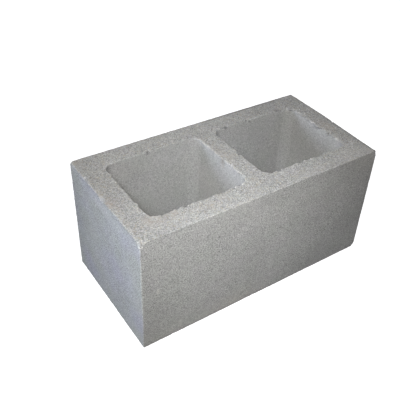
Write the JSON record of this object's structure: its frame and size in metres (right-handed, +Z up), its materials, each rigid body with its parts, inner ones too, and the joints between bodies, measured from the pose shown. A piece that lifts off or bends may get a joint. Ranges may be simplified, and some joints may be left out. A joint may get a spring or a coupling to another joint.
{
  "type": "hollow concrete block",
  "caption": "Rectangular concrete masonry block with flat faces and two tapered, round-cornered cells running through from bed to bed, for laying in walls.",
  "frame": {"origin": "middle of the lower bed, the face that the block stands on", "axes": "+X along the long faces, +Y from the front long face to the rear one, +Z up through the cells"},
  "size_m": [0.4, 0.2, 0.19],
  "materials": {
    "concrete": "coarse grey cast concrete, matt"
  },
  "bodies": {
    "root": {"concrete_block": "concrete"}
  },
  "joints": []
}
